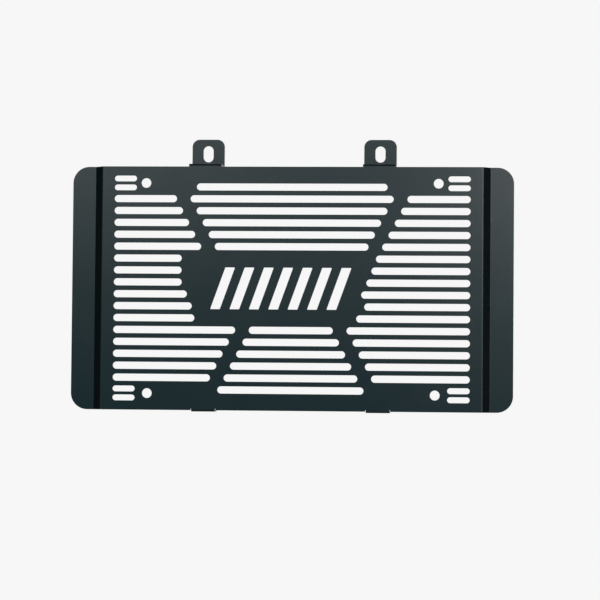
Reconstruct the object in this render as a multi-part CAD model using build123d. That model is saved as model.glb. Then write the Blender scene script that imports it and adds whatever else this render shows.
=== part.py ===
"""Radiator guard for a motorcycle: one louvred sheet with folded wings, ears and lips.

Millimetres, upright: +X across the guard, +Y from its front to the radiator, +Z up.
The guard is drawn about the middle of its front face and then moved, so that the origin
lies midway between the two ear slots, on the ears' back faces.
"""

import math
import os

from build123d import *

# Sheet and folds
sheet_thickness = 1.2
bend_inner_radius = 0.6
wing_setback = 4.2
step_angle = 40.0
wing_reach = 15.5
wing_corner_radius = 11.0

# Louvre rows, counted from the top
upper_rows = 6
lower_rows = 6
slot_height = 4.8
row_web = 3.2
edge_margin = 11.3

# Louvre columns: the slots run outwards to one line and stop short of the slanted bands
field_half_width = 119.4
side_margin = 8.3
band_width = 9.2
band_step = 4.15
upper_half_length = 68.1
lower_half_length = 28.1

# Inner ends of the side slots beside the middle plate, top to bottom, from the centre line
left_ends = [73.7, 73.7, 73.6, 70.0, 66.6, 64.8]
right_ends = [56.6, 53.6, 50.3, 46.9, 49.0, 43.7]

# Slanted vents in a row across the middle plate
vent_count = 7
vent_width = 6.5
vent_pitch = 13.0
vent_height = 28.0
vent_lean = 10.0
vent_row_offset = 7.0

# Corner groups: two short slots and a screw hole each
corner_slot_height = 3.9
corner_slot_length = 14.9
corner_slot_web = 2.1
hole_diameter = 6.5
upper_hole_gap = 3.2
lower_hole_gap = 5.0

# Ears on the top edge
tab_spacing = 116.8
tab_width = 22.0
tab_stub = 0.2
ear_setback = 20.0
ear_slot_width = 6.8
ear_slot_length = 11.0
ear_slot_foot = 2.2
ear_slot_margin = 4.4
ear_corner_radius = 5.0

# Lips on the bottom edge
lip_width = 16.0
lip_depth = 15.0
lip_drop = 0.9
lip_corner_radius = 3.0
relief_width = 0.25
relief_over = 0.2

# Values that follow from the sizes above
middle_rows = len(left_ends)
row_count = upper_rows + middle_rows + lower_rows
row_pitch = slot_height + row_web
bend_outer_radius = bend_inner_radius + sheet_thickness
panel_half_height = ((row_count - 1) * row_pitch + slot_height) / 2 + edge_margin
inner_fold_x = field_half_width + side_margin
outer_fold_x = inner_fold_x + wing_setback / math.tan(math.radians(step_angle))
half_width = outer_fold_x + wing_reach
flange_top = panel_half_height + bend_outer_radius + tab_stub
ear_slot_z = flange_top + bend_inner_radius + ear_slot_foot + ear_slot_length / 2
ear_top = ear_slot_z + ear_slot_length / 2 + ear_slot_margin
lip_bottom = -panel_half_height - lip_drop
strip_root = panel_half_height - edge_margin / 2
seat_y = ear_setback + sheet_thickness
cut_over = sheet_thickness


def row_z(row):
    """Height of a louvre row's centre line above the panel's middle."""
    return ((row_count - 1) / 2 - row) * row_pitch


def centre_half_length(row):
    """Half the length of a centre slot: both bands lean by one step a row.

    The top row is as long as the third, so that it clears the corners.
    """
    if row < upper_rows:
        return upper_half_length - band_step * abs(row - 1)
    return lower_half_length + band_step * (row - upper_rows - middle_rows)


def side_inner_ends(row):
    """Distances from the centre line at which the left and right slots of a row begin."""
    middle = row - upper_rows
    if 0 <= middle < middle_rows:
        return left_ends[middle], right_ends[middle]
    end = centre_half_length(row) + band_width
    return end, end


def slot_between(x_from, x_to, z, height):
    """A round-ended slot from one end to the other, lying along X."""
    return Pos((x_from + x_to) / 2, z) * SlotOverall(x_to - x_from, height)


def louvres():
    """All the long slots: a centre column above and below, and a column at each side."""
    slots = []
    for row in range(row_count):
        z = row_z(row)
        if not upper_rows <= row < upper_rows + middle_rows:
            half = centre_half_length(row)
            slots.append(slot_between(-half, half, z, slot_height))
        if 0 < row < row_count - 1:
            left, right = side_inner_ends(row)
            slots.append(slot_between(-field_half_width, -left, z, slot_height))
            slots.append(slot_between(right, field_half_width, z, slot_height))
    return slots


def slanted_vents():
    """A row of upright vents in the middle plate, all leaning to the right at the top."""
    vents = []
    for place in range(vent_count):
        x = (place - (vent_count - 1) / 2) * vent_pitch - vent_row_offset
        foot, head = x - vent_lean / 2, x + vent_lean / 2
        corners = [
            (foot - vent_width / 2, -vent_height / 2),
            (foot + vent_width / 2, -vent_height / 2),
            (head + vent_width / 2, vent_height / 2),
            (head - vent_width / 2, vent_height / 2),
        ]
        vents.append(Polygon(*corners, align=None))
    return vents


def corner_z():
    """Height of a corner group's middle: its slots stand one web above the second row."""
    lower_edge = row_z(1) + slot_height / 2 + row_web
    return lower_edge + corner_slot_height + corner_slot_web / 2


def hole_x(gap):
    """Distance of a screw hole from the centre line, beside the corner slots."""
    return field_half_width - corner_slot_length - gap - hole_diameter / 2


def corner_groups():
    """Two short slots and a screw hole in each corner of the field."""
    cuts = []
    offset_z = (corner_slot_height + corner_slot_web) / 2
    slot_x = field_half_width - corner_slot_length / 2
    for side in (-1, 1):
        for level, gap in ((1, upper_hole_gap), (-1, lower_hole_gap)):
            z = level * corner_z()
            for slot_z in (z - offset_z, z + offset_z):
                slot = SlotOverall(corner_slot_length, corner_slot_height)
                cuts.append(Pos(side * slot_x, slot_z) * slot)
            cuts.append(Pos(side * hole_x(gap), z) * Circle(hole_diameter / 2))
    return cuts


def ear_slots():
    """An upright slot in each ear, for adjustment in height."""
    slot = SlotOverall(ear_slot_length, ear_slot_width, rotation=90)
    return [Pos(side * tab_spacing / 2, ear_slot_z) * slot for side in (-1, 1)]


def folded_face(points, radii):
    """Section of the sheet, whose front runs through the points with rounded folds."""
    front = FilletPolyline(*points, radius=radii)
    return make_face(offset(front, sheet_thickness, side=Side.RIGHT).edges())


def joggled_sheet():
    """The panel with a wing set back at each side, cut to its rounded outline."""
    points = [
        (half_width, wing_setback),
        (outer_fold_x, wing_setback),
        (inner_fold_x, 0),
        (-inner_fold_x, 0),
        (-outer_fold_x, wing_setback),
        (-half_width, wing_setback),
    ]
    radii = [bend_inner_radius, bend_outer_radius, bend_outer_radius, bend_inner_radius]
    section = Plane.XY * folded_face(points, radii)
    sheet = extrude(section, panel_half_height, both=True)
    outline = RectangleRounded(2 * half_width, 2 * panel_half_height, wing_corner_radius)
    return sheet & extrude(Plane.XZ * outline, wing_setback + sheet_thickness + cut_over, both=True)


def strip(points, radii, x, width):
    """A folded strip of the sheet, drawn in Y and Z and as wide as stated along X."""
    face = Plane.YZ * folded_face(points, radii)
    return Pos(x, 0, 0) * extrude(face, width / 2, both=True)


def ear(x):
    """A tab folded back from the top edge and up again into an ear with round corners."""
    points = [(0, strip_root), (0, flange_top), (ear_setback, flange_top), (ear_setback, ear_top)]
    tab = strip(points, [bend_outer_radius, bend_inner_radius], x, tab_width)
    corners = tab.edges().filter_by(Axis.Y).group_by(Axis.Z)[-1]
    return fillet(corners, ear_corner_radius)


def lip(x):
    """A lip folded back from the bottom edge."""
    points = [(lip_depth, lip_bottom), (0, lip_bottom), (0, -strip_root)]
    tongue = strip(points, [bend_outer_radius], x, lip_width)
    corners = tongue.edges().filter_by(Axis.Z).group_by(Axis.Y)[-1]
    return fillet(corners, lip_corner_radius)


def lip_relief(x):
    """Slits in the panel's bottom edge beside a lip, reaching past its fold: cut as one notch."""
    depth = bend_outer_radius - lip_drop + relief_over
    width = lip_width + 2 * relief_width
    return Pos(x, 0, -panel_half_height) * Box(width, 2 * (sheet_thickness + cut_over), 2 * depth)


def through_cuts(outlines, y_from, y_to):
    """Outlines drawn in X and Z, carried through the sheet from front to back."""
    face = Sketch() + outlines
    return Pos(0, y_to, 0) * extrude(Plane.XZ * face, y_to - y_from)


def radiator_guard():
    """The whole guard, moved so that the origin is midway between the ear slots."""
    guard = joggled_sheet()
    sides = (-tab_spacing / 2, tab_spacing / 2)
    for x in sides:
        guard -= lip_relief(x)
    for x in sides:
        guard += ear(x)
        guard += lip(x)
    panel_cuts = louvres() + slanted_vents() + corner_groups()
    guard -= through_cuts(panel_cuts, -cut_over, sheet_thickness + cut_over)
    guard -= through_cuts(ear_slots(), ear_setback - cut_over, seat_y + cut_over)
    return Pos(0, -seat_y, -ear_slot_z) * guard


os.makedirs("parts", exist_ok=True)
export_step(radiator_guard(), "parts/radiator_guard.step")
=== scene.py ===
"""Builds a motorcycle radiator guard: one folded, louvred sheet in satin black on a pale stage."""

import math

import bpy
import numpy as np
from bpy.props import FloatProperty, FloatVectorProperty, IntProperty, PointerProperty
from mathutils import Matrix
from mathutils.geometry import delaunay_2d_cdt


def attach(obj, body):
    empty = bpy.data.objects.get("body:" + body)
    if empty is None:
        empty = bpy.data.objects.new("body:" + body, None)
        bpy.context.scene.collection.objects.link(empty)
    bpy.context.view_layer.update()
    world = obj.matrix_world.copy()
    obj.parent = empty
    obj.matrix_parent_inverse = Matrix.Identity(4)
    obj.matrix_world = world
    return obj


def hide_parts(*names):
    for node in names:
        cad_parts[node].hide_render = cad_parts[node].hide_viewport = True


bl_info = {
    "name": "Radiator Guard",
    "version": (1, 0, 0),
    "blender": (4, 5, 0),
    "location": "3D View > Sidebar > Guard",
    "description": "Builds a folded, louvred radiator guard and the stage that it is shown on",
    "category": "Object",
}

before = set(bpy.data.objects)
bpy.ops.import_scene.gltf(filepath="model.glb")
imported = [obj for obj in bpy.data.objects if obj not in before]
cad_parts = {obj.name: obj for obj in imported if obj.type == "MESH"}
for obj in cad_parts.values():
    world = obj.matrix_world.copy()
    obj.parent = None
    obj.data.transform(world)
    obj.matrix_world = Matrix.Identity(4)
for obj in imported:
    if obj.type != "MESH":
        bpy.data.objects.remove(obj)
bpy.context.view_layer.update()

MM = 0.001
TINY = 1e-7
SIDES = (-1, 1)

# Louvre row with the longest centre slot, counted from nought at the top
LONGEST_ROW = 1

# Noises of the coat, and how much they and its thinning over a cut edge change the surface
CUT_EDGE = "cut_edge"
CLOUDS_PER_METRE = 45.0
CLOUD_DETAIL = 3.0
GRAIN_PER_METRE = 3200.0
GRAIN_DETAIL = 1.0
DIMPLE_DETAIL = 2.0
NOISE_ROUGHNESS = 0.55
NOISE_MIDDLE = 0.5
GRAIN_SHEEN = 0.05
GRAIN_HEIGHT = 0.25
EDGE_TINT = 0.6
EDGE_SHEEN = 0.06

# Sockets of a Mix node that mixes colours
MIX_FIRST, MIX_SECOND, MIX_RESULT = 6, 7, 2

# Floor: its reach in metres, the share of it that stays whole, and its grid
FLOOR_REACH = 1.2
FLOOR_WHOLE = 0.45
FLOOR_RINGS = 12
FLOOR_SPOKES = 64

# Light that the sheen finds: strengths, the way to a card, and cosines between which each fades
SIDE_LIGHT = 0.02
CARD_LIGHT = 0.6
CARD_WAY = (0.63, -0.70, -0.34)
CARD_SPREAD = (0.90, 0.98)
BACKDROP_SPREAD = (0.35, 0.75)
ROOM_SPREAD = (0.35, 0.95)
GROUND_LIGHT = 0.65
GROUND_AHEAD = (0.10, 0.30)
GROUND_STARTS = (0.40, 0.60)
GROUND_ENDS = (0.82, 0.92)

# Softboxes: name, place, width and height in metres, and share of the lamps' power
LAMP_AIM = (0.0, -0.02, -0.06)
LAMPS = (
    ("left_softbox", (-0.30, -0.78, 0.144), (0.50, 0.16), 0.41),
    ("right_softbox", (0.377, -0.78, 0.129), (0.50, 0.16), 1.00),
    ("side_softbox", (0.57, -0.66, -0.10), (0.15, 0.45), 0.30),
)

# Camera: place in metres, heading, pitch and roll in degrees, sensor in millimetres
CAMERA_PLACE = (0.1154, -1.6184, -0.16415)
CAMERA_TURNS = (3.9161, 2.3097, 0.4963)
CAMERA_SENSOR = 36.0
CAMERA_CLIP = (0.05, 50.0)


def length(name, description, millimetres):
    """A length that the sidebar shows, with its default in millimetres."""
    return FloatProperty(
        name=name,
        description=description,
        default=millimetres * MM,
        min=0,
        precision=5,
        unit="LENGTH",
    )


def lengths(name, description, millimetres):
    """A row of lengths that the sidebar shows, with their defaults in millimetres."""
    return FloatVectorProperty(
        name=name,
        description=description,
        size=len(millimetres),
        default=[value * MM for value in millimetres],
        precision=5,
        unit="LENGTH",
    )


def whole(name, description, default, lowest=1):
    """A whole number that the sidebar shows."""
    return IntProperty(name=name, description=description, default=default, min=lowest)


def colour(name, description, default):
    """A linear colour that the sidebar shows."""
    return FloatVectorProperty(
        name=name, description=description, size=3, default=default, min=0, max=1, subtype="COLOR"
    )


def factor(name, description, default):
    """A share from nought to one that the sidebar shows."""
    return FloatProperty(
        name=name, description=description, default=default, min=0, max=1, subtype="FACTOR"
    )


class SheetSizes(bpy.types.PropertyGroup):
    """The sheet, its folds at the wings, and the finish of its cut edges."""

    thickness: length("Thickness", "Thickness of the coated sheet", 1.2)
    bend_radius: length("Bend radius", "Radius on the inside of every fold", 0.6)
    wing_setback: length("Wing setback", "How far the wings lie behind the panel", 4.2)
    step_angle: FloatProperty(
        name="Step angle",
        description="Slope of the step between panel and wing",
        default=math.radians(40),
        subtype="ANGLE",
    )
    wing_reach: length("Wing reach", "Width of a wing outside its fold", 15.5)
    wing_corner: length("Wing corner", "Radius of the four outer corners", 11.0)
    inner_fold: length("Inner fold", "Distance of the step's front fold from the middle", 127.7)
    half_height: length("Half height", "Half the height of the panel", 81.7)
    edge_round: length("Edge rounding", "Radius that the coat gives to a cut edge", 0.25)
    corner_round: length("Corner rounding", "Radius of the small corners of the outline", 0.4)


class LouvreSizes(bpy.types.PropertyGroup):
    """The long slots, in a centre column and a column at each side."""

    upper_rows: whole("Upper rows", "Rows above the middle plate", 6)
    lower_rows: whole("Lower rows", "Rows below the middle plate", 6)
    slot_height: length("Slot height", "Height of a louvre slot", 4.8)
    row_pitch: length("Row pitch", "Distance from one row to the next", 8.0)
    outer_end: length("Outer end", "Distance of the slots' outer ends from the middle", 119.4)
    band_width: length("Band width", "Width of the slanted bands between the columns", 9.2)
    band_step: length("Band step", "Lean of the bands from row to row", 4.15)
    upper_half: length("Upper half length", "Half the longest centre slot above", 68.1)
    lower_half: length("Lower half length", "Half the shortest centre slot below", 28.1)
    left_ends: lengths(
        "Left ends",
        "Inner ends of the middle rows' left slots",
        [73.7, 73.7, 73.6, 70.0, 66.6, 64.8],
    )
    right_ends: lengths(
        "Right ends",
        "Inner ends of the middle rows' right slots",
        [56.6, 53.6, 50.3, 46.9, 49.0, 43.7],
    )


class VentSizes(bpy.types.PropertyGroup):
    """The slanted vents in a row across the middle plate."""

    count: whole("Count", "Number of vents", 7)
    width: length("Width", "Width of a vent", 6.5)
    pitch: length("Pitch", "Distance from one vent to the next", 13.0)
    height: length("Height", "Height of a vent", 28.0)
    lean: length("Lean", "How far a vent's head lies to the right of its foot", 10.0)
    row_offset: length("Row offset", "How far the row's middle lies left of the panel's", 7.0)
    corner: length("Corner", "Radius of a vent's corners", 0.4)


class CornerSizes(bpy.types.PropertyGroup):
    """The two short slots and the screw hole in each corner of the field."""

    slot_height: length("Slot height", "Height of a short slot", 3.9)
    slot_length: length("Slot length", "Length of a short slot", 14.9)
    slot_web: length("Slot web", "Metal between the two short slots", 2.1)
    group_height: length("Group height", "Height of the group's middle above the panel's", 70.55)
    hole: length("Screw hole", "Diameter of the screw holes", 6.5)
    upper_hole: length("Upper hole", "Distance of the upper holes from the middle", 98.05)
    lower_hole: length("Lower hole", "Distance of the lower holes from the middle", 96.25)


class TabSizes(bpy.types.PropertyGroup):
    """The ears on the top edge and the lips on the bottom edge."""

    spacing: length("Spacing", "Distance between the two ears, and between the two lips", 116.8)
    ear_width: length("Ear width", "Width of an ear and of its flange", 22.0)
    ear_setback: length("Ear setback", "How far the ears lie behind the panel", 20.0)
    flange_height: length("Flange height", "Height of the flanges above the panel's middle", 83.7)
    ear_height: length("Ear height", "Height of the ears' top above the panel's middle", 101.9)
    ear_corner: length("Ear corner", "Radius of the ears' upper corners", 5.0)
    slot_width: length("Slot width", "Width of an ear's upright slot", 6.8)
    slot_length: length("Slot length", "Length of an ear's upright slot", 11.0)
    slot_height: length("Slot place", "Height of the ear slots' middles above the panel's", 92.0)
    lip_width: length("Lip width", "Width of a lip", 16.0)
    lip_depth: length("Lip depth", "Depth of a lip behind the panel's front", 15.0)
    lip_height: length("Lip place", "Depth of the lips' undersides below the panel's middle", 82.6)
    lip_corner: length("Lip corner", "Radius of the lips' outer corners", 3.0)
    relief_width: length("Slit width", "Width of the slit beside a lip", 0.25)
    relief_over: length("Slit reach", "Reach of the slit past the lip's fold", 0.2)
    root_round: length("Root rounding", "Radius of the inner corners beside ears and lips", 0.1)


class MeshSteps(bpy.types.PropertyGroup):
    """How finely the curves are divided."""

    arc: whole("Corner steps", "Steps of a rounded corner", 14, 2)
    edge: whole("Edge steps", "Steps of a rounded cut edge", 4)
    bend: whole("Bend steps", "Steps of a fold", 10, 2)


class CoatLook(bpy.types.PropertyGroup):
    """The satin black powder coat."""

    dark: colour("Coat colour", "Colour of the coat where it is thick", (0.0001, 0.0021, 0.0028))
    pale: colour("Thin coat colour", "Colour where it is thinner", (0.0002, 0.0027, 0.0035))
    edge: colour("Edge colour", "Colour where it is thin over a cut edge", (0.008, 0.012, 0.014))
    roughness: factor("Roughness", "Roughness of the satin surface", 0.34)
    cloudiness: factor("Cloudiness", "How much the sheen wanders over the surface", 0.07)
    peel_size: length("Peel size", "Width of a dimple of the coat", 1.1)
    peel_depth: length("Peel depth", "Depth of the dimples", 0.008)


class StageLook(bpy.types.PropertyGroup):
    """Floor, backdrop, lamps and camera."""

    backdrop: colour("Backdrop", "Colour of the backdrop", (0.925, 0.930, 0.925))
    floor: colour("Floor", "Colour of the floor", (0.86, 0.86, 0.85))
    floor_height: FloatProperty(
        name="Floor height",
        description="Height of the floor in the guard's frame",
        default=-0.60,
        unit="LENGTH",
    )
    fill: FloatProperty(
        name="Fill", description="Strength of the light from all round", default=0.80, min=0
    )
    room: colour("Room", "Dim light that the sheen finds before the guard", (0.019, 0.300, 0.385))
    lamp_tint: colour("Lamp colour", "Colour of the softboxes", (1.0, 1.0, 1.0))
    lamp_power: FloatProperty(
        name="Lamp power", description="Power of the strongest softbox", default=2.42, unit="POWER"
    )
    lens: FloatProperty(
        name="Lens", description="Focal length of the camera", default=144.0, unit="CAMERA"
    )


class GuardSettings(bpy.types.PropertyGroup):
    """All that the sidebar offers."""

    sheet: PointerProperty(type=SheetSizes)
    louvres: PointerProperty(type=LouvreSizes)
    vents: PointerProperty(type=VentSizes)
    corners: PointerProperty(type=CornerSizes)
    tabs: PointerProperty(type=TabSizes)
    steps: PointerProperty(type=MeshSteps)
    coat: PointerProperty(type=CoatLook)
    stage: PointerProperty(type=StageLook)


class FoldLine:
    """Middle line of a folded sheet: straight runs joined by arcs of one radius.

    At distance d past the start of a part with heading a and curvature k, the line has gone
    d * sinc(k d / 2) in the direction a + k d / 2, and its heading is a + k d. A positive
    turn leads towards the back. Distances below nought are the same line mirrored.
    """

    def __init__(self, runs, turns, radius):
        turns = np.array(turns, float)
        spans = np.zeros(len(runs) + len(turns))
        spans[0::2] = runs
        spans[1::2] = np.abs(turns) * radius
        self.curvature = np.zeros(len(spans))
        self.curvature[1::2] = np.sign(turns) / radius
        self.ends = np.cumsum(spans)
        self.starts = self.ends - spans
        swing = self.curvature * spans
        self.heading = np.cumsum(swing) - swing
        step = self.advance(self.heading, self.curvature, spans)
        self.place = np.cumsum(step, axis=0) - step

    @staticmethod
    def advance(heading, curvature, distance):
        """Way gone along and back in a part, as the class's formula gives it."""
        half = curvature * distance / 2
        chord = distance * np.sinc(half / math.pi)
        return np.stack([chord * np.cos(heading + half), chord * np.sin(heading + half)], -1)

    def at(self, distance):
        """Place along and back, and the cosine and sine of the heading, at signed distances."""
        side = np.where(distance < 0, -1.0, 1.0)
        gone = np.abs(distance)
        part = np.searchsorted(self.starts, gone, side="right") - 1
        rest = gone - self.starts[part]
        place = self.place[part] + self.advance(self.heading[part], self.curvature[part], rest)
        heading = self.heading[part] + self.curvature[part] * rest
        return side * place[..., 0], place[..., 1], np.cos(heading), side * np.sin(heading)

    def bend_steps(self, steps):
        """Distances that divide every arc into equal steps."""
        return np.linspace(self.starts[1::2], self.ends[1::2], steps + 1).ravel()


class FoldedSheet:
    """The guard's flat pattern and the folds that shape it, from the sidebar's sizes."""

    def __init__(self, sizes):
        self.sizes = sizes
        sheet, tabs = sizes.sheet, sizes.tabs
        inner = sheet.bend_radius
        outer = inner + sheet.thickness
        middle = inner + sheet.thickness / 2
        bevel = math.tan(sheet.step_angle / 2)
        step = sheet.wing_setback / math.sin(sheet.step_angle)
        right = math.pi / 2
        self.wing = FoldLine(
            [
                sheet.inner_fold - outer * bevel,
                step - (outer + inner) * bevel,
                sheet.wing_reach - inner * bevel,
            ],
            [sheet.step_angle, -sheet.step_angle],
            middle,
        )
        self.ear = FoldLine(
            [
                tabs.flange_height - outer,
                tabs.ear_setback - outer - inner,
                tabs.ear_height - tabs.flange_height - inner,
            ],
            [right, -right],
            middle,
        )
        self.lip = FoldLine([tabs.lip_height - outer, tabs.lip_depth - outer], [right], middle)
        self.notch = tabs.lip_height - outer - tabs.relief_over

    def outline(self):
        """Outer edge of the flat pattern, run round with the sheet on its left."""
        sheet, tabs, notch = self.sizes.sheet, self.sizes.tabs, self.notch
        half, reach = sheet.half_height, self.wing.ends[-1]
        small, root = sheet.corner_round, tabs.root_round
        lip_end, ear_end = self.lip.ends[-1], self.ear.ends[-1]
        corners = [(-reach, -half, sheet.wing_corner)]
        for side in SIDES:
            x = side * tabs.spacing / 2
            lip = tabs.lip_width / 2
            wide = lip + tabs.relief_width
            corners += [(x - wide, -half, small), (x - wide, -notch, root)]
            corners += [(x - lip, -notch, root), (x - lip, -lip_end, tabs.lip_corner)]
            corners += [(x + lip, -lip_end, tabs.lip_corner), (x + lip, -notch, root)]
            corners += [(x + wide, -notch, root), (x + wide, -half, small)]
        corners += [(reach, -half, sheet.wing_corner), (reach, half, sheet.wing_corner)]
        for side in reversed(SIDES):
            x = side * tabs.spacing / 2
            ear = tabs.ear_width / 2
            corners += [(x + ear, half, root), (x + ear, ear_end, tabs.ear_corner)]
            corners += [(x - ear, ear_end, tabs.ear_corner), (x - ear, half, root)]
        corners.append((-reach, half, sheet.wing_corner))
        corners = np.array(corners)
        return rounded_loop(corners[:, :2], corners[:, 2], self.sizes.steps.arc)

    def louvres(self):
        """Centre, length and height of every long slot, as rows of an array.

        A centre slot's half length changes by one step of the slanted bands from row to row. The
        middle rows have only side slots, and the top and bottom rows only centre slots.
        """
        rows = self.sizes.louvres
        upper, middle = rows.upper_rows, len(rows.left_ends)
        count = upper + middle + rows.lower_rows
        row = np.arange(count)
        level = ((count - 1) / 2 - row) * rows.row_pitch
        above = rows.upper_half - rows.band_step * np.abs(row - LONGEST_ROW)
        below = rows.lower_half + rows.band_step * (row - upper - middle)
        half = np.where(row < upper, above, below)
        crossed = (row < upper) | (row >= upper + middle)
        left = half + rows.band_width
        right = left.copy()
        left[~crossed] = rows.left_ends
        right[~crossed] = rows.right_ends
        flanked = slice(1, -1)
        outer = np.full(count, rows.outer_end)
        spans = [
            (-half[crossed], half[crossed], level[crossed]),
            (-outer[flanked], -left[flanked], level[flanked]),
            (right[flanked], outer[flanked], level[flanked]),
        ]
        start, end, height = np.concatenate([np.stack(span) for span in spans], axis=1)
        high = np.full(len(height), rows.slot_height)
        return np.stack([(start + end) / 2, height, end - start, high], 1)

    def vent_loops(self):
        """Edges of the slanted vents, each run round with the sheet on its left."""
        vents = self.sizes.vents
        lean, wide, high = vents.lean, vents.width, vents.height
        head = [(lean - wide, high), (lean + wide, high)]
        foot = [(wide - lean, -high), (-wide - lean, -high)]
        vent = np.array(head + foot) / 2
        radii = np.full(len(vent), vents.corner)
        from_middle = np.arange(vents.count) - (vents.count - 1) / 2
        places = from_middle * vents.pitch - vents.row_offset
        return [rounded_loop(vent + (x, 0), radii, self.sizes.steps.arc) for x in places]

    def small_openings(self):
        """Centre, width and height of the corner slots, the screw holes and the ear slots."""
        corner, tabs, sheet = self.sizes.corners, self.sizes.tabs, self.sizes.sheet
        slot_x = self.sizes.louvres.outer_end - corner.slot_length / 2
        apart = (corner.slot_height + corner.slot_web) / 2
        ear_v = self.ear.starts[-1] + tabs.slot_height - tabs.flange_height - sheet.bend_radius
        openings = []
        for side in SIDES:
            for level, hole in ((1, corner.upper_hole), (-1, corner.lower_hole)):
                v = level * corner.group_height
                openings.append((side * slot_x, v + apart, corner.slot_length, corner.slot_height))
                openings.append((side * slot_x, v - apart, corner.slot_length, corner.slot_height))
                openings.append((side * hole, v, corner.hole, corner.hole))
            openings.append((side * tabs.spacing / 2, ear_v, tabs.slot_width, tabs.slot_length))
        return np.array(openings)

    def fold_marks(self):
        """Places across where the wings bend, and heights at which the ears and the lips bend."""
        steps = self.sizes.steps.bend
        across = self.wing.bend_steps(steps)
        upright = np.concatenate([self.ear.bend_steps(steps), -self.lip.bend_steps(steps)])
        return np.concatenate([-across, across]), upright

    def carry(self, flat, depth, outward, inward):
        """Carries places and directions of the flat pattern onto the folded sheet.

        A place (u, v) at a depth goes to the middle line's point for u or v, plus depth minus
        half the thickness along the line's normal. The part of a direction along u or v turns
        with the line, and its inward part follows the normal.
        """
        sheet, tabs = self.sizes.sheet, self.sizes.tabs
        u, v = flat[..., 0], flat[..., 1]
        from_tab = np.abs(np.abs(u) - tabs.spacing / 2)
        on_ear = v > sheet.half_height
        on_lip = (v < -self.notch) & (from_tab < (tabs.lip_width + tabs.relief_width) / 2)
        on_tab = on_ear | on_lip
        offset = depth - sheet.thickness / 2
        x, x_back, x_cos, x_sin = self.wing.at(u)
        ear = np.stack(self.ear.at(v))
        lip = np.stack(self.lip.at(v))
        z, z_back, z_cos, z_sin = np.where(on_ear, ear, lip)
        back = np.where(on_tab, z_back + offset * z_cos, x_back + offset * x_cos)
        place = np.stack(
            [
                np.where(on_tab, u, x - offset * x_sin),
                sheet.thickness / 2 + back,
                np.where(on_tab, z - offset * z_sin, v),
            ],
            -1,
        )
        du, dv = outward[..., 0], outward[..., 1]
        turned = np.stack(
            [
                np.where(on_tab, du, du * x_cos - inward * x_sin),
                np.where(on_tab, dv * z_sin + inward * z_cos, du * x_sin + inward * x_cos),
                np.where(on_tab, dv * z_cos - inward * z_sin, dv),
            ],
            -1,
        )
        seat = np.array([0, tabs.ear_setback + sheet.thickness, tabs.slot_height])
        return place - seat, turned


def rounded_loop(corners, radii, steps):
    """Closed outline with every corner turned into an arc, and its directions out of the sheet.

    The outline runs with the sheet on its left. An arc starts radius * tan(turn / 2) before its
    corner, its centre lies one radius to the side of the turn, and its points are centre + side *
    radius * (sin a, -cos a) for headings a from that of the edge before to that of the edge after.
    """
    before = corners - np.roll(corners, 1, axis=0)
    heading = np.arctan2(before[:, 1], before[:, 0])
    turn = np.roll(heading, -1) - heading
    turn = (turn + math.pi) % math.tau - math.pi
    reach = radii * np.tan(np.abs(turn) / 2)
    start = corners - reach[:, None] * np.stack([np.cos(heading), np.sin(heading)], 1)
    lever = (np.sign(turn) * radii)[:, None]
    centre = start - lever * np.stack([np.sin(heading), -np.cos(heading)], 1)
    angle = heading[:, None] + turn[:, None] * np.linspace(0, 1, steps + 1)
    outward = np.stack([np.sin(angle), -np.cos(angle)], -1)
    points = (centre[:, None] + lever[:, None] * outward).reshape(-1, 2)
    outward = outward.reshape(-1, 2)
    fresh = np.linalg.norm(points - np.roll(points, 1, axis=0), axis=1) > TINY
    return points[fresh], outward[fresh]


def slot_loop(opening, steps):
    """Edge of a round-ended slot or a round hole, run round with the sheet on its left."""
    x, z, wide, high = opening
    corners = np.array([(-wide, high), (wide, high), (wide, -high), (-wide, -high)]) / 2
    radii = np.full(len(corners), min(wide, high) / 2)
    return rounded_loop(corners + (x, z), radii, steps)


def split_at_folds(points, outward, across, upright, strip):
    """Adds points to a closed outline where it crosses the fold marks.

    A crossing lies at the share t = (mark - start) / (end - start) of an edge. Marks of height
    count only within the strip of widths about the middle that holds the ears and lips.
    """
    ends, end_out = np.roll(points, -1, axis=0), np.roll(outward, -1, axis=0)
    run = ends - points
    run = np.where(np.abs(run) < TINY, np.inf, run)
    t_across = (across - points[:, :1]) / run[:, :1]
    t_upright = (upright - points[:, 1:]) / run[:, 1:]
    t_upright[np.abs(points[:, 0]) > strip] = -1
    t = np.concatenate([t_across, t_upright], 1)
    edge, mark = np.nonzero((t > TINY) & (t < 1 - TINY))
    share = np.concatenate([np.zeros(len(points)), t[edge, mark]])
    edge = np.concatenate([np.arange(len(points)), edge])
    order = np.lexsort((share, edge))
    edge, share = edge[order], share[order][:, None]
    turned = outward[edge] * (1 - share) + end_out[edge] * share
    turned /= np.linalg.norm(turned, axis=1)[:, None]
    return points[edge] * (1 - share) + ends[edge] * share, turned


def cut_edge(thickness, rounding, steps):
    """Section of a cut edge, carried along every outline.

    A quarter circle of the rounding's radius from the front face, the straight wall, and a quarter
    circle to the back face: setback r (1 - sin a) and depth r (1 - cos a), then mirrored. Gives
    setback, depth, and the outward and inward parts of the normal.
    """
    angle = np.linspace(0, math.pi / 2, steps + 1)
    setback, depth = rounding * (1 - np.sin(angle)), rounding * (1 - np.cos(angle))
    return (
        np.concatenate([setback, setback[::-1]]),
        np.concatenate([depth, thickness - depth[::-1]]),
        np.concatenate([np.sin(angle), np.sin(angle[::-1])]),
        np.concatenate([-np.cos(angle), np.cos(angle[::-1])]),
    )


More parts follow.
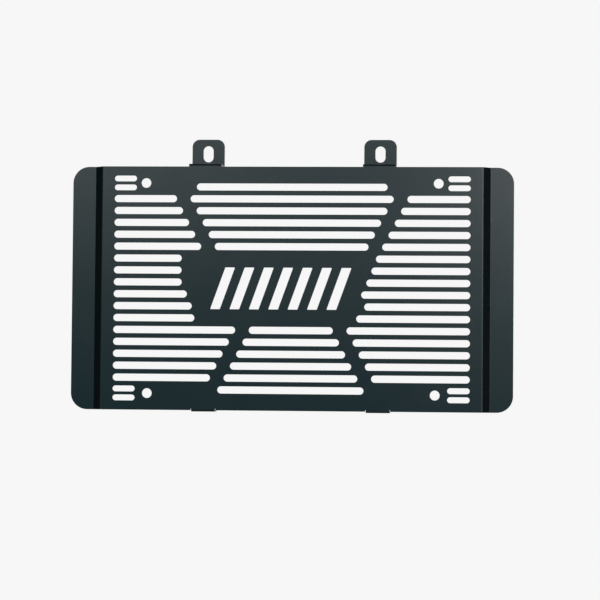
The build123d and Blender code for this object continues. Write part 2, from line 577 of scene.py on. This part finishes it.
def inside(places, starts, ends):
    """Whether places lie on the sheet.

    A line from such a place to the right crosses the outlines an odd number of times.
    """
    x, z = places[:, :1], places[:, 1:]
    low, high = starts[:, 1], ends[:, 1]
    spans = (low > z) != (high > z)
    rise = np.where(high == low, 1, high - low)
    meets = starts[:, 0] + (z - low) * (ends[:, 0] - starts[:, 0]) / rise
    return (spans & (meets > x)).sum(axis=1) % 2 == 1


def face_triangles(rim, after, folds):
    """Triangles of the flat face between the outlines, with the fold marks as edges."""
    edges = np.concatenate([np.stack([np.arange(len(rim)), after], 1), folds])
    made = delaunay_2d_cdt((rim / MM).tolist(), edges.tolist(), [], 0, TINY, False)
    if len(made[0]) != len(rim):
        raise RuntimeError("the guard's outlines cross each other")
    triangles = np.array(made[2])
    return triangles[inside(rim[triangles].mean(axis=1), rim, rim[after])]


def fold_edges(points, sheet):
    """Pairs of outline points that face each other on a fold mark."""
    tabs = sheet.sizes.tabs
    ear_width = tabs.ear_width + tabs.root_round
    lip_width = tabs.lip_width + tabs.relief_width
    across, upright = sheet.fold_marks()
    pairs = [np.flatnonzero(np.abs(points[:, 0] - mark) < TINY) for mark in across]
    for side in SIDES:
        from_middle = np.abs(points[:, 0] - side * tabs.spacing / 2)
        for mark in upright:
            width = ear_width if mark > 0 else lip_width
            level = np.abs(points[:, 1] - mark) < TINY
            pairs.append(np.flatnonzero(level & (from_middle < width / 2)))
    if any(len(pair) != 2 for pair in pairs):
        raise RuntimeError("a fold doesn't run from edge to edge")
    return np.array(pairs)


def sheet_mesh(name, sizes):
    """The whole guard as one closed mesh.

    Every outline carries the section of a cut edge round as a grid, the front and back faces fill
    the space between the outlines, and the folds carry all of it into place.
    """
    sheet = FoldedSheet(sizes)
    openings = np.concatenate([sheet.louvres(), sheet.small_openings()])
    strip = sizes.tabs.spacing / 2 + sizes.tabs.ear_width
    edge_of_sheet = split_at_folds(*sheet.outline(), *sheet.fold_marks(), strip)
    loops = [edge_of_sheet] + [slot_loop(opening, sizes.steps.arc) for opening in openings]
    loops += sheet.vent_loops()
    points, outward = (np.concatenate(part) for part in zip(*loops))
    counts = np.array([len(loop[0]) for loop in loops])
    firsts = np.repeat(np.cumsum(counts) - counts, counts)
    after = firsts + (np.arange(len(points)) - firsts + 1) % np.repeat(counts, counts)

    section = cut_edge(sizes.sheet.thickness, sizes.sheet.edge_round, sizes.steps.edge)
    setback, depth, out_part, in_part = section
    flat = points[:, None] - outward[:, None] * setback[:, None]
    direction = outward[:, None] * out_part[:, None]
    place, normal = sheet.carry(flat, depth, direction, in_part)
    cut = np.tile(out_part, len(points))

    across = len(setback)
    ring = np.arange(len(points))[:, None] * across + np.arange(across - 1)
    next_ring = after[:, None] * across + np.arange(across - 1)
    walls = np.stack([ring, ring + 1, next_ring + 1, next_ring], -1).reshape(-1, 4)
    folds = fold_edges(edge_of_sheet[0], sheet)
    front = face_triangles(flat[:, 0], after, folds) * across
    faces = np.concatenate([front, front[:, ::-1] + across - 1])
    return filled_mesh(name, place.reshape(-1, 3), normal.reshape(-1, 3), walls, faces, cut)


def filled_mesh(name, places, normals, quads, triangles, cut):
    """A smooth mesh with its own normals, and with the share of cut edge kept on its points."""
    mesh = bpy.data.meshes.new(name)
    corners = np.concatenate([quads.ravel(), triangles.ravel()])
    sides = np.concatenate([np.full(len(quads), 4), np.full(len(triangles), 3)])
    mesh.vertices.add(len(places))
    mesh.vertices.foreach_set("co", places.ravel())
    mesh.loops.add(len(corners))
    mesh.loops.foreach_set("vertex_index", corners)
    mesh.polygons.add(len(sides))
    mesh.polygons.foreach_set("loop_start", np.cumsum(sides) - sides)
    mesh.update(calc_edges=True)
    if mesh.validate():
        raise RuntimeError(f"{name} has faces that can't be drawn")
    mesh.attributes.new(CUT_EDGE, "FLOAT", "POINT").data.foreach_set("value", cut)
    mesh.shade_smooth()
    mesh.normals_split_custom_set_from_vertices(normals.tolist())
    return mesh


class Wire:
    """A shader socket that can stand in an expression, where the operators add Math nodes."""

    def __init__(self, tree, socket=None):
        self.tree = tree
        self.socket = socket

    def node(self, kind, settings=None, inputs=None, output=0):
        """Adds a node, with its settings and then its sockets' values or links, and wires it."""
        made = self.tree.nodes.new(kind)
        for key, value in (settings or {}).items():
            setattr(made, key, value)
        for key, value in (inputs or {}).items():
            if isinstance(value, Wire):
                self.tree.links.new(value.socket, made.inputs[key])
            else:
                made.inputs[key].default_value = value
        return Wire(self.tree, made.outputs[output] if len(made.outputs) else None)

    def beside(self, output):
        """Another output of the same node."""
        return Wire(self.tree, self.socket.node.outputs[output])

    def maths(self, operation, first, second=0):
        """A Math node on one or two values."""
        return self.node("ShaderNodeMath", {"operation": operation}, {0: first, 1: second})

    def __add__(self, other):
        return self.maths("ADD", self, other)

    __radd__ = __add__

    def __sub__(self, other):
        return self.maths("SUBTRACT", self, other)

    def __rsub__(self, other):
        return self.maths("SUBTRACT", other, self)

    def __mul__(self, other):
        return self.maths("MULTIPLY", self, other)

    __rmul__ = __mul__

    def __abs__(self):
        return self.maths("ABSOLUTE", self)


def colour_mix(wires, share, first, second):
    """Colour between two colours by a share."""
    return wires.node(
        "ShaderNodeMix",
        {"data_type": "RGBA"},
        {"Factor": share, MIX_FIRST: first, MIX_SECOND: second},
        MIX_RESULT,
    )


def ramp(wires, value, low, high):
    """A soft rise from nought at one value to one at another."""
    return wires.node(
        "ShaderNodeMapRange",
        {"interpolation_type": "SMOOTHSTEP"},
        {"Value": value, "From Min": low, "From Max": high},
    )


def empty_tree(owner):
    """The owner's node tree with nothing in it, as a wire to build on."""
    owner.use_nodes = True
    owner.node_tree.nodes.clear()
    return Wire(owner.node_tree)


def satin_coat(look):
    """Satin black powder coat: a cloudy sheen, shallow dimples, and cut edges thinly covered.

    The share of cut edge c runs from nought on a face to one on the wall, and the coat is drawn
    thinnest halfway round the edge's rounding, where 4 c (1 - c) is one.
    """
    material = bpy.data.materials.new("satin_black_coat")
    wires = empty_tree(material)
    place = wires.node("ShaderNodeTexCoord", output="Object")

    def noise(scale, detail):
        inputs = {"Vector": place, "Scale": scale, "Detail": detail, "Roughness": NOISE_ROUGHNESS}
        return wires.node("ShaderNodeTexNoise", {"noise_dimensions": "3D"}, inputs)

    clouds = noise(CLOUDS_PER_METRE, CLOUD_DETAIL)
    grain = noise(GRAIN_PER_METRE, GRAIN_DETAIL)
    dimples = noise(1 / look.peel_size, DIMPLE_DETAIL)
    cut = wires.node("ShaderNodeAttribute", {"attribute_name": CUT_EDGE}, output="Fac")
    thin = 4 * cut * (1 - cut)
    body = colour_mix(wires, clouds, (*look.dark, 1), (*look.pale, 1))
    tint = colour_mix(wires, EDGE_TINT * thin, body, (*look.edge, 1))
    rough = (
        look.roughness
        + look.cloudiness * (clouds - NOISE_MIDDLE)
        + GRAIN_SHEEN * (grain - NOISE_MIDDLE)
        - EDGE_SHEEN * thin
    )
    height = dimples + GRAIN_HEIGHT * grain
    bump = wires.node(
        "ShaderNodeBump", inputs={"Strength": 1.0, "Distance": look.peel_depth, "Height": height}
    )
    shader = wires.node(
        "ShaderNodeBsdfPrincipled",
        inputs={
            "Base Color": tint,
            "Roughness": rough,
            "Normal": bump,
            "Metallic": 0.0,
            "IOR": 1.5,
            "Specular IOR Level": 0.5,
        },
    )
    wires.node("ShaderNodeOutputMaterial", inputs={"Surface": shader})
    return material


def pale_floor(look):
    """Matt pale floor that ends softly, so that the backdrop goes on from it without an edge."""
    material = bpy.data.materials.new("pale_floor")
    wires = empty_tree(material)
    place = wires.node("ShaderNodeTexCoord", output="Object")
    level = wires.node("ShaderNodeVectorMath", {"operation": "MULTIPLY"}, {0: place, 1: (1, 1, 0)})
    reach = wires.node("ShaderNodeVectorMath", {"operation": "LENGTH"}, {0: level}, "Value")
    fade = ramp(wires, reach, FLOOR_WHOLE * FLOOR_REACH, FLOOR_REACH)
    matt = wires.node("ShaderNodeBsdfDiffuse", inputs={"Color": (*look.floor, 1)})
    clear = wires.node("ShaderNodeBsdfTransparent")
    shown = wires.node("ShaderNodeMixShader", inputs={0: fade, 1: matt, 2: clear})
    wires.node("ShaderNodeOutputMaterial", inputs={"Surface": shown})
    return material


def background(wires, tint, strength):
    """Light of one colour from the world, as strong as a wire says."""
    return wires.node("ShaderNodeBackground", inputs={"Color": (*tint, 1), "Strength": strength})


def studio_world(look):
    """Even fill from all round, behind a backdrop that the camera and the sheen see.

    The camera sees the plain backdrop colour. The sheen sees it behind the guard, a dim room over
    a pale ground in front of it, hardly any light below it and at its sides, and a pale card low
    on either side.
    """
    world = bpy.data.worlds.new("studio")
    wires = empty_tree(world)
    seen = wires.node("ShaderNodeLightPath", output="Is Camera Ray")
    sheen = seen.beside("Is Glossy Ray") + seen.beside("Is Transmission Ray")
    towards = wires.node("ShaderNodeTexCoord", output="Generated")
    x = wires.node("ShaderNodeSeparateXYZ", inputs={0: towards}, output="X")
    y, z = x.beside("Y"), x.beside("Z")
    behind = ramp(wires, y, *BACKDROP_SPREAD)
    before = ramp(wires, 0 - y, *ROOM_SPREAD)
    card = ramp(wires, CARD_WAY[0] * abs(x) + CARD_WAY[1] * y + CARD_WAY[2] * z, *CARD_SPREAD)
    low = ramp(wires, 0 - z, *GROUND_STARTS) * (1 - ramp(wires, 0 - z, *GROUND_ENDS))
    ground = low * ramp(wires, 0 - y, *GROUND_AHEAD)
    wide = SIDE_LIGHT * (1 - before) + (1 - SIDE_LIGHT) * behind + CARD_LIGHT * card
    wide = GROUND_LIGHT * ground + (1 - ground) * wide
    level = seen + (1 - seen) * (sheen * wide + (1 - sheen) * look.fill)
    backdrop = background(wires, look.backdrop, level)
    room = background(wires, look.room, (1 - seen) * sheen * before * (1 - ground))
    both = wires.node("ShaderNodeAddShader", inputs={0: backdrop, 1: room})
    wires.node("ShaderNodeOutputWorld", inputs={"Surface": both})
    return world


def floor_mesh(height):
    """Round floor as a grid of rings and spokes: (r cos a, r sin a, height)."""
    radius = np.linspace(0, FLOOR_REACH, FLOOR_RINGS + 1)[1:, None]
    angle = np.linspace(0, math.tau, FLOOR_SPOKES, endpoint=False)
    x, y = radius * np.cos(angle), radius * np.sin(angle)
    rings = np.stack([x, y, np.full_like(x, height)], -1)
    index = np.arange(x.size).reshape(x.shape) + 1
    beside = np.roll(index, -1, axis=1)
    quads = np.stack([index[:-1], index[1:], beside[1:], beside[:-1]], -1).reshape(-1, 4)
    hub = np.stack([np.zeros_like(index[0]), index[0], beside[0]], -1)
    mesh = bpy.data.meshes.new("floor")
    places = np.concatenate([[(0, 0, height)], rings.reshape(-1, 3)])
    mesh.from_pydata(places.tolist(), [], quads.tolist() + hub.tolist())
    return mesh


def placed(name, data, context):
    """A new object in the scene, at the origin."""
    made = bpy.data.objects.new(name, data)
    context.scene.collection.objects.link(made)
    return made


def aimed_pose(place, heading, pitch, roll):
    """Pose that looks along +Y, rolled about its line of sight, tilted up and headed left."""
    turn = Matrix.Rotation(heading, 4, "Z") @ Matrix.Rotation(math.pi / 2 + pitch, 4, "X")
    return Matrix.Translation(place) @ turn @ Matrix.Rotation(roll, 4, "Z")


def hang_softbox(context, look, name, place, size, share):
    """A soft rectangular lamp that is aimed at the guard and that the camera doesn't see."""
    lamp = bpy.data.lights.new(name, "AREA")
    lamp.shape = "RECTANGLE"
    lamp.size, lamp.size_y = size
    lamp.energy = look.lamp_power * share
    lamp.color = look.lamp_tint
    softbox = placed(name, lamp, context)
    softbox.visible_camera = False
    way = np.subtract(LAMP_AIM, place)
    heading = math.atan2(-way[0], way[1])
    pitch = math.atan2(way[2], math.hypot(way[0], way[1]))
    softbox.matrix_world = aimed_pose(place, heading, pitch, 0)


def set_camera(context, look):
    """The scene's camera, at the place and with the turns that show the guard from in front."""
    camera = bpy.data.cameras.new("camera")
    camera.lens = look.lens
    camera.sensor_width = CAMERA_SENSOR
    camera.clip_start, camera.clip_end = CAMERA_CLIP
    eye = placed("camera", camera, context)
    eye.matrix_world = aimed_pose(CAMERA_PLACE, *map(math.radians, CAMERA_TURNS))
    context.scene.camera = eye


class GUARD_OT_build_sheet(bpy.types.Operator):
    """Builds the folded sheet with its cut-outs and its coat"""

    bl_idname = "guard.build_sheet"
    bl_label = "Build Sheet"

    def execute(self, context):
        sizes = context.scene.guard
        mesh = sheet_mesh("guard_sheet", sizes)
        mesh.materials.append(satin_coat(sizes.coat))
        piece = placed("guard_sheet", mesh, context)
        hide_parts("radiator_guard")
        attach(piece, "root")
        return {"FINISHED"}


class GUARD_OT_build_stage(bpy.types.Operator):
    """Builds the floor, the backdrop, the lamps and the camera"""

    bl_idname = "guard.build_stage"
    bl_label = "Build Stage"

    def execute(self, context):
        look = context.scene.guard.stage
        context.scene.view_settings.view_transform = "Standard"
        context.scene.world = studio_world(look)
        mesh = floor_mesh(look.floor_height)
        mesh.materials.append(pale_floor(look))
        floor = placed("floor", mesh, context)
        floor.visible_glossy = False
        for name, place, size, share in LAMPS:
            hang_softbox(context, look, name, place, size, share)
        set_camera(context, look)
        return {"FINISHED"}


class GUARD_PT_settings(bpy.types.Panel):
    """Sizes and looks of the guard, with the steps that build it"""

    bl_idname = "GUARD_PT_settings"
    bl_label = "Radiator Guard"
    bl_space_type = "VIEW_3D"
    bl_region_type = "UI"
    bl_category = "Guard"

    def draw(self, context):
        settings = context.scene.guard
        for group in settings.bl_rna.properties:
            if group.type != "POINTER" or group.identifier == "rna_type":
                continue
            box = self.layout.box()
            box.label(text=group.identifier.capitalize())
            values = getattr(settings, group.identifier)
            for value in values.bl_rna.properties:
                if value.identifier not in ("rna_type", "name"):
                    box.prop(values, value.identifier)
        self.layout.operator(GUARD_OT_build_sheet.bl_idname)
        self.layout.operator(GUARD_OT_build_stage.bl_idname)


CLASSES = (
    SheetSizes,
    LouvreSizes,
    VentSizes,
    CornerSizes,
    TabSizes,
    MeshSteps,
    CoatLook,
    StageLook,
    GuardSettings,
    GUARD_OT_build_sheet,
    GUARD_OT_build_stage,
    GUARD_PT_settings,
)


def register():
    """Makes the settings, the steps and the sidebar known."""
    for item in CLASSES:
        bpy.utils.register_class(item)
    bpy.types.Scene.guard = PointerProperty(type=GuardSettings)


def unregister():
    """Takes away what register made known."""
    del bpy.types.Scene.guard
    for item in reversed(CLASSES):
        bpy.utils.unregister_class(item)


def main():
    """Builds the guard and its stage."""
    register()
    bpy.ops.guard.build_sheet()
    bpy.ops.guard.build_stage()


if __name__ == "__main__":
    main()
